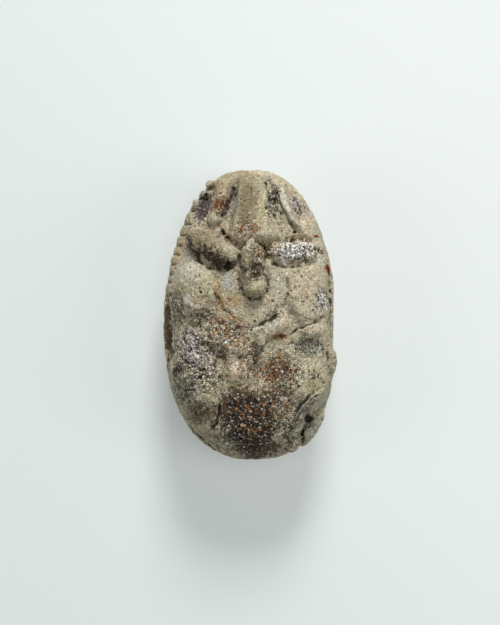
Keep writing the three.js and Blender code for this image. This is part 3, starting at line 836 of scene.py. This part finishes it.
def carve(piece):
    """Raises the crests and cuts the creases, channels and pits of the side that faces up."""
    co = points_of(piece)
    facing = normals_of(piece)
    x = co[:, 0] + WANDER * ripples(co, 0.45, 1) + 1.6 * WANDER * ripples(co, 1.3, 2)
    y = co[:, 1] + WANDER * ripples(co, 0.45, 3) + 1.6 * WANDER * ripples(co, 1.3, 4)
    broken = 0.72 + 0.5 * ripples(co, 0.55, 5)
    ragged = ripples(co, 0.3, 6)
    depth = np.zeros(len(co))
    for name, places, wide, deep in CHANNELS:
        away, part = line_distance(x, y, curve_through(line_on_body(places)))
        edge = 0.5 * length_share(wide) * LENGTH
        cut = 1 - smoothstep(away + 0.1 * ragged, 0.55 * edge, 1.15 * edge)
        depth += depth_share(deep) * LENGTH * cut
    for name, places, wide, deep in CREASES:
        line = line_profile(x, y, places, wide)
        depth += depth_share(deep) * LENGTH * line * np.clip(broken, 0.25, 1.3)
    for name, places, wide, tall in RIDGES:
        line = line_profile(x, y, places, wide)
        depth -= depth_share(tall) * LENGTH * line * np.clip(broken + 0.2, 0.4, 1.2)
    for name, *place, thick, tall in RINGS:
        u, v, wide, long, turn = egg_on_body(*place)
        away = np.abs(reach(x, y, u, v, wide, long, turn) - 1) * wide * HALF_LENGTH
        edge = 0.5 * length_share(thick) * LENGTH
        depth -= depth_share(tall) * LENGTH * np.exp(-(away / edge) ** 2)
    for name, *place, crown, deep in PITS:
        away = reach(x, y, *egg_on_body(*place)) + 0.14 * ragged
        depth += depth_share(deep) * LENGTH * (1 - smoothstep(away, crown, 1.1))
    depth += small_pits(x, y)
    up = smoothstep(facing[:, 2], -0.05, 0.45)
    co -= facing * (depth * up)[:, None]
    joints = np.zeros(len(co))
    for places, deep in RIM_JOINTS:
        line = line_profile(co[:, 0], co[:, 1], places, RIM_JOINT_WIDTH)
        joints += depth_share(deep) * LENGTH * line
    co -= facing * (joints * smoothstep(facing[:, 2], -0.7, -0.3)
                    * smoothstep(co[:, 2], RIM_Z - 0.7, RIM_Z))[:, None]
    below = smoothstep(-facing[:, 2], 0.0, 0.4)
    co -= facing * (back_line_depth(co[:, 0], co[:, 1]) * below)[:, None]
    co[:, 2] = np.maximum(co[:, 2], 0)
    move_points(piece, co)


def small_pits(x, y):
    """Pinholes and lost grains all over the side that faces up."""
    rng = np.random.default_rng(7)
    depth = np.zeros(len(x))
    places = zip(rng.uniform(-1, 1, PINHOLES), rng.uniform(-1, 1, PINHOLES),
                 rng.uniform(0.06, 0.15, PINHOLES), rng.uniform(0.05, 0.17, PINHOLES))
    for u, v, size, deep in places:
        away = np.hypot(x - u * HALF_WIDTH, y - v * HALF_LENGTH)
        depth += deep * (1 - smoothstep(away, 0.2 * size, size))
    return depth


def arc_across(v, bow, half):
    return [(u, v + bow * (1 - (u / half) ** 2)) for u in np.linspace(-half, half, 9)]


def back_line_depth(x, y):
    """Lines of the domed back: the wing-case seam, the edges of collar and head, and two notches."""
    lines = [
        ([(0, 0.31), (0, -0.93)], 0.02),
        (arc_across(0.38, -0.07, 0.84), 0.022),
        (arc_across(0.76, -0.08, 0.6), 0.02),
        ([(-0.8, 0.37), (-0.72, 0.28), (-0.66, 0.17)], 0.02),
        ([(0.8, 0.37), (0.72, 0.28), (0.66, 0.17)], 0.02),
    ]
    depth = np.zeros(len(x))
    for places, thick in lines:
        away, part = line_distance(x, y, places)
        depth = np.maximum(depth, 0.5 * thick * LENGTH * np.exp(-(away / (0.4 * thick * LENGTH)) ** 2))
    return depth


def grit_at(co, facing):
    """How coarse and loose the grains are, from 0 to 1."""
    grit = np.zeros(len(co))
    for *place, strength in GRIT:
        away = reach(co[:, 0], co[:, 1], *egg_on_body(*place))
        grit = np.maximum(grit, strength * (1 - smoothstep(away, 0.5, 1.3)))
    return grit * smoothstep(facing[:, 2], -0.2, 0.3)


def texture(name, kind, size, **values):
    pattern = bpy.data.textures.new(name, kind)
    pattern.noise_scale = size
    for key, value in values.items():
        setattr(pattern, key, value)
    return pattern


def weathered(piece):
    """Lumps, grains and pits of a weathered skin, as moves of its points."""
    coarse = piece.vertex_groups.new(name="coarse")
    for i, grit in enumerate(grit_at(points_of(piece), normals_of(piece))):
        coarse.add([i], grit, "REPLACE")
    for name, size, strength, group in SOFT_LAYERS:
        apply_modifier(piece, "DISPLACE", texture=texture(name, "CLOUDS", size, noise_depth=2),
                       strength=strength, mid_level=0.5, vertex_group=group)
    for name, size, strength, group in GRAIN_LAYERS:
        apply_modifier(piece, "DISPLACE", texture=texture(name, "VORONOI", size, weight_1=-1, weight_2=1),
                       strength=strength, mid_level=0.3, vertex_group=group)


def thinned(piece):
    """Fewer facets where the skin is plain, so that the whole keeps to FACETS triangles."""
    triangles = sum(len(face.vertices) - 2 for face in piece.data.polygons)
    if triangles > FACETS:
        apply_modifier(piece, "DECIMATE", ratio=FACETS / triangles)


def fit_to_box(piece):
    """Brings the weathered skin to the amulet's own length, width and height."""
    co = points_of(piece)
    for axis in (0, 1):
        first, last = co[:, axis].min(), co[:, axis].max()
        co[:, axis] = low[axis] + (co[:, axis] - first) * (high[axis] - low[axis]) / (last - first)
    above = co[:, 2] > RIM_Z
    co[above, 2] = RIM_Z + (co[above, 2] - RIM_Z) * (high.z - RIM_Z) / (co[:, 2].max() - RIM_Z)
    co[:, 2] = np.maximum(co[:, 2], 0)
    move_points(piece, co)


def stains_and_shade(piece):
    """Where each finish and each painted shade lies, kept on the points for the material to read."""
    co = points_of(piece)
    facing = normals_of(piece)
    up = smoothstep(facing[:, 2], -0.15, 0.25)
    x = co[:, 0] + 0.12 * ripples(co, 0.7, 11) + 0.2 * ripples(co, 2.1, 13)
    y = co[:, 1] + 0.12 * ripples(co, 0.7, 12) + 0.2 * ripples(co, 2.1, 14)
    masks = {}
    for finish, *place, strength in STAINS:
        mask = strength * (1 - smoothstep(reach(x, y, *egg_on_body(*place)), 0.1, 1.4))
        masks[finish] = np.maximum(masks.get(finish, 0), mask)
    for finish, mask in masks.items():
        keep(piece, finish, mask * up)
    keep(piece, "grit", grit_at(co, facing))
    keep(piece, "hollow", hollowness(piece, co, facing, HOLLOW_ROUNDS) / HOLLOW_DEPTH)
    keep(piece, "valley", hollowness(piece, co, facing, VALLEY_ROUNDS) / VALLEY_DEPTH)


def keep(piece, name, values):
    layer = piece.data.attributes.new(name, "FLOAT", "POINT")
    layer.data.foreach_set("value", np.clip(values, -1, 2).astype(np.float32))


def hollowness(piece, co, facing, rounds):
    """How deep each point lies below its surroundings."""
    edges = np.empty(len(piece.data.edges) * 2, dtype=np.int64)
    piece.data.edges.foreach_get("vertices", edges)
    a, b = edges.reshape(-1, 2).T
    count = np.bincount(a, minlength=len(co)) + np.bincount(b, minlength=len(co))
    smooth = co.copy()
    for _ in range(rounds):
        total = np.zeros_like(smooth)
        for axis in range(3):
            total[:, axis] = (np.bincount(a, smooth[b, axis], len(co))
                              + np.bincount(b, smooth[a, axis], len(co)))
        smooth = 0.5 * smooth + 0.5 * total / count[:, None]
    return ((smooth - co) * facing).sum(axis=1)


def linear(colour):
    """An 8-bit sRGB colour as the linear values that a shader takes."""
    values = [c / 255 for c in colour]
    return tuple(c / 12.92 if c <= 0.04 else ((c + 0.055) / 1.055) ** 2.4 for c in values) + (1.0,)


class Nodes:
    """Short calls for a material's nodes."""

    def __init__(self, material):
        material.use_nodes = True
        self.tree = material.node_tree
        self.tree.nodes.clear()

    def add(self, kind, inputs=None, **values):
        """A node with its settings, then its inputs: a value, or another node's output."""
        made = self.tree.nodes.new(kind)
        for key, value in values.items():
            setattr(made, key, value)
        for key, value in (inputs or {}).items():
            if isinstance(value, bpy.types.NodeSocket):
                self.tree.links.new(value, made.inputs[key])
            else:
                made.inputs[key].default_value = value
        return made

    def noise(self, where, scale, detail=2.0, roughness=0.6, seed=0.0):
        made = self.add("ShaderNodeTexNoise", noise_dimensions="4D",
                        inputs={"Vector": where, "W": seed, "Scale": scale, "Detail": detail,
                                "Roughness": roughness})
        return made.outputs["Fac"]

    def cells(self, where, scale, feature="F1"):
        return self.add("ShaderNodeTexVoronoi", {"Vector": where, "Scale": scale}, feature=feature)

    def chances(self, cells):
        """Three random values that are the same all over each cell."""
        parts = self.add("ShaderNodeSeparateColor", {"Color": cells.outputs["Color"]})
        return [parts.outputs[i] for i in range(3)]

    def ramp(self, value, start, end, low=0.0, high=1.0):
        made = self.add("ShaderNodeMapRange", {"Value": value, "From Min": start, "From Max": end,
                                               "To Min": low, "To Max": high},
                        interpolation_type="SMOOTHSTEP")
        return made.outputs["Result"]

    def maths(self, operation, a, b):
        return self.add("ShaderNodeMath", {0: a, 1: b}, operation=operation).outputs["Value"]

    def move(self, operation, inputs):
        return self.add("ShaderNodeVectorMath", inputs, operation=operation).outputs["Vector"]

    def mix(self, factor, a, b, blend="MIX"):
        made = self.add("ShaderNodeMix", {"Factor": factor}, data_type="RGBA", blend_type=blend)
        for socket, value in ((made.inputs[6], a), (made.inputs[7], b)):
            if isinstance(value, bpy.types.NodeSocket):
                self.tree.links.new(value, socket)
            else:
                socket.default_value = value
        return made.outputs[2]

    def attribute(self, name):
        return self.add("ShaderNodeAttribute", attribute_name=name).outputs["Fac"]


def weathered_ceramic():
    """Granular quartz ceramic: stained body, loose bright and dark grains, grime and painted shade in the
    hollows, painted shade in grain pits and between grains, painted highlights on the crests.
    """
    material = bpy.data.materials.new("weathered_ceramic")
    nodes = Nodes(material)
    at = nodes.add("ShaderNodeTexCoord").outputs["Object"]
    bend = nodes.add("ShaderNodeTexNoise", {"Vector": at, "Scale": 5000, "Detail": 1}).outputs["Color"]
    bend = nodes.move("SUBTRACT", {0: bend, 1: (0.5, 0.5, 0.5)})
    bend = nodes.move("SCALE", {0: bend, "Scale": 0.00012})
    where = nodes.move("ADD", {0: at, 1: bend})

    patches = nodes.noise(where, 420, 4)
    edges = nodes.noise(where, 1500, 4, 0.7)
    coarse = nodes.cells(where, 4800)
    fine = nodes.cells(where, 8200)
    joints = nodes.cells(where, 4800, "DISTANCE_TO_EDGE").outputs["Distance"]
    dust = nodes.noise(where, 9000, 3, 0.75)
    rolls = nodes.chances(coarse) + nodes.chances(fine)
    grit = nodes.attribute("grit")

    colour = nodes.mix(nodes.ramp(patches, 0.35, 0.65), linear(BODY_COLOUR), linear(BODY_SHADE))
    ragged = nodes.ramp(edges, 0.33, 0.67, -0.36, 0.36)
    for i, (finish, (tone, cover)) in enumerate(FINISHES.items()):
        amount = nodes.attribute(finish)
        if finish in MOTTLES:
            blots = nodes.noise(where, MOTTLES[finish], 4, 0.8, i)
            chance = nodes.maths("ADD", blots, nodes.ramp(amount, 0, 1, -0.18, 0.18))
            here = nodes.ramp(chance, 0.49, 0.57, 0.0, cover)
        elif finish in SINGLE_GRAINS:
            share = nodes.maths("MULTIPLY", amount, SINGLE_GRAINS[finish])
            chance = nodes.maths("ADD", rolls[i % len(rolls)], share)
            here = nodes.ramp(chance, 0.98, 1.02, 0.0, cover)
        else:
            roll = nodes.ramp(rolls[i % len(rolls)], 0, 1, -0.3, 0.3)
            chance = nodes.maths("ADD", nodes.maths("ADD", amount, roll), ragged)
            here = nodes.ramp(chance, 0.1, 0.85, 0.0, cover)
        here = nodes.maths("MULTIPLY", nodes.ramp(amount, 0.02, 0.12), here)
        colour = nodes.mix(here, colour, linear(tone))

    tone = nodes.ramp(rolls[1], 0, 1, -0.26, 0.26)
    tone = nodes.maths("ADD", tone, nodes.ramp(rolls[4], 0, 1, -0.26, 0.26))
    tone = nodes.maths("ADD", tone, nodes.ramp(dust, 0.3, 0.7, -0.36, 0.36))
    strong = nodes.maths("ADD", nodes.maths("MULTIPLY", grit, 1.5), 0.66)
    tone = nodes.maths("ADD", nodes.maths("MULTIPLY", tone, strong), 1.0)
    grey = nodes.add("ShaderNodeCombineColor", {0: tone, 1: tone, 2: tone}).outputs["Color"]
    colour = nodes.mix(1.0, colour, grey, "MULTIPLY")

    flecks = nodes.ramp(nodes.noise(where, 4200, 4, 0.8, 31), 0.6, 0.68, 0.0, 0.6)
    colour = nodes.mix(flecks, colour, linear((142, 92, 54)))
    sparkle = nodes.maths("ADD", rolls[3], nodes.maths("MULTIPLY", grit, 0.08))
    sparkle = nodes.ramp(sparkle, 0.97, 0.99, 0.0, 0.7)
    colour = nodes.mix(sparkle, colour, linear((238, 236, 228)))
    # Some grains are pits, painted near-black as shade that the bump cannot cast; they also sink in the
    # bump.
    shaded_pits = nodes.maths("SUBTRACT", rolls[5], nodes.maths("MULTIPLY", grit, 0.06))
    shaded_pits = nodes.ramp(shaded_pits, 0.0, 0.03, 0.75, 0.0)
    colour = nodes.mix(shaded_pits, colour, linear(DIRT_AND_SHADE_COLOUR))
    # The joints between the grains are painted dark: painted shade that the bump cannot cast.
    gap_shade = nodes.maths("MULTIPLY", nodes.ramp(joints, 0.0, 0.16, 0.9, 0.0),
                       nodes.ramp(nodes.noise(where, 2600, 2), 0.45, 0.6))
    gap_shade = nodes.maths("MULTIPLY", gap_shade, nodes.maths("ADD", nodes.maths("MULTIPLY", grit, 0.7), 0.3))
    colour = nodes.mix(gap_shade, colour, linear(DIRT_AND_SHADE_COLOUR))
    # Hollows are darkened: partly grime, partly painted shade.
    dirt_and_shade = nodes.maths("ADD", nodes.ramp(nodes.attribute("hollow"), 0.25, 1.3, 0.0, 0.6),
                       nodes.ramp(nodes.attribute("valley"), 0.35, 1.7, 0.0, 0.5))
    dirt_and_shade = nodes.maths("MINIMUM", dirt_and_shade, 0.8)
    colour = nodes.mix(dirt_and_shade, colour, linear(DIRT_AND_SHADE_COLOUR))
    # Crests are lightened: a painted highlight.
    crest_highlight = nodes.ramp(nodes.attribute("hollow"), -0.3, -1.2, 0.0, 0.4)
    colour = nodes.mix(crest_highlight, colour, linear((225, 216, 196)))

    height = nodes.maths("MULTIPLY", nodes.ramp(joints, 0.0, 0.35), nodes.maths("ADD", grit, 0.35))
    height = nodes.maths("ADD", height, nodes.maths("MULTIPLY", dust, 1.1))
    height = nodes.maths("ADD", height, nodes.maths("MULTIPLY", rolls[1], 0.35))
    height = nodes.maths("SUBTRACT", height, shaded_pits)
    bump = nodes.add("ShaderNodeBump", {"Height": height, "Strength": 1.0, "Distance": 0.00012})
    shader = nodes.add("ShaderNodeBsdfPrincipled", {
        "Base Color": colour, "Roughness": nodes.ramp(rolls[3], 0.9, 0.95, 0.82, 0.35),
        "Normal": bump.outputs["Normal"], "Specular IOR Level": 0.35})
    out = nodes.add("ShaderNodeOutputMaterial")
    nodes.tree.links.new(shader.outputs["BSDF"], out.inputs["Surface"])
    return material


def amulet():
    forms = [body()]
    for name, places, wide, high, lift in BARS:
        made = bars(line_on_body(places), half_share(wide), half_share(high), depth_share(lift))
        forms += [pierced(made[0])] if name == "lug" else made
    for name, x, y, *sizes, turn, lift in LUMPS:
        spot = on_belly(*place_on_body(x, y), depth_share(lift))
        forms.append(lump(spot, *map(half_share, sizes), turn))
    for name, x, y, *sizes, turn, rise in RIM_FORMS:
        u, v = place_on_body(x, y)
        spot = Vector((u * HALF_WIDTH, v * HALF_LENGTH, RIM_Z + depth_share(rise) * LENGTH))
        forms.append(lump(spot, *map(half_share, sizes), turn))
    piece = fused(forms)
    thin_back(piece)
    carve(piece)
    weathered(piece)
    thinned(piece)
    fit_to_box(piece)
    stains_and_shade(piece)
    move_points(piece, points_of(piece) * MM)
    piece.name = "weathered_scarab"
    bpy.ops.object.select_all(action="DESELECT")
    piece.select_set(True)
    bpy.context.view_layer.objects.active = piece
    bpy.ops.object.shade_smooth()
    piece.data.materials.clear()
    piece.data.materials.append(weathered_ceramic())
    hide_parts(NODE)
    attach(piece, "root")
    return piece


def floor():
    """Pale paper, painted a little brighter towards the top right as a pool of light, and glowing faintly
    to lift the shadows.
    """
    bpy.ops.object.select_all(action="DESELECT")
    bpy.ops.mesh.primitive_plane_add(size=3)
    piece = bpy.context.object
    piece.name = "paper_floor"
    material = bpy.data.materials.new("pale_paper")
    nodes = Nodes(material)
    at = nodes.add("ShaderNodeTexCoord").outputs["Object"]
    parts = nodes.add("ShaderNodeSeparateXYZ", {"Vector": at})
    # Painted light: the floor colour brightens towards the top right.
    slope = nodes.maths("ADD", nodes.maths("MULTIPLY", parts.outputs["X"], 0.8),
                        nodes.maths("MULTIPLY", parts.outputs["Y"], 0.5))
    colour = nodes.mix(nodes.ramp(slope, -0.03, 0.03), linear((186, 192, 190)), linear((204, 208, 207)))
    # The faint emission is painted light that lifts the shadows around the amulet.
    shader = nodes.add("ShaderNodeBsdfPrincipled", {"Base Color": colour, "Roughness": 0.9,
                                                    "Specular IOR Level": 0.1,
                                                    "Emission Color": (0.93, 1.0, 0.99, 1),
                                                    "Emission Strength": 0.235})
    out = nodes.add("ShaderNodeOutputMaterial")
    nodes.tree.links.new(shader.outputs["BSDF"], out.inputs["Surface"])
    piece.data.materials.append(material)


def soft_light(name, azimuth, elevation, distance, size, power):
    """A square soft light that faces the amulet. Azimuth is clockwise from the head end."""
    turn, lift = math.radians(azimuth), math.radians(elevation)
    level = math.cos(lift)
    spot = distance * Vector((math.sin(turn) * level, math.cos(turn) * level, math.sin(lift)))
    bpy.ops.object.light_add(type="AREA", location=spot)
    lamp = bpy.context.object
    lamp.name = name
    lamp.rotation_euler = (-spot).to_track_quat("-Z", "Y").to_euler()
    lamp.data.size = size
    lamp.data.energy = power


def studio():
    soft_light("key", 6, 34, 0.6, 0.18, 3.4)
    soft_light("overhead", 60, 80, 0.9, 0.34, 1.45)
    soft_light("left_fill", 262, 28, 0.6, 0.3, 0.6)
    soft_light("right_fill", 95, 38, 0.6, 0.3, 0.8)
    world = bpy.data.worlds.new("studio")
    bpy.context.scene.world = world
    world.use_nodes = True
    background = world.node_tree.nodes["Background"]
    background.inputs["Color"].default_value = (0.96, 1.0, 0.99, 1)
    background.inputs["Strength"].default_value = 0.14
    bpy.context.scene.view_settings.view_transform = "Standard"


def camera():
    """Straight above, with a long lens. The photograph's frame is 51.8 mm high at the amulet."""
    frame_height = LENGTH * FRAME_SHARE * MM
    drop = DROP_SHARE * frame_height
    distance = LENS / SENSOR * frame_height
    bpy.ops.object.camera_add(location=(0, drop, distance + RIM_Z * MM), rotation=(0, 0, 0))
    view = bpy.context.object
    view.data.lens = LENS
    view.data.sensor_width = SENSOR
    view.data.sensor_fit = "AUTO"
    view.data.clip_start = 0.01
    bpy.context.scene.camera = view


amulet()
floor()
studio()
camera()
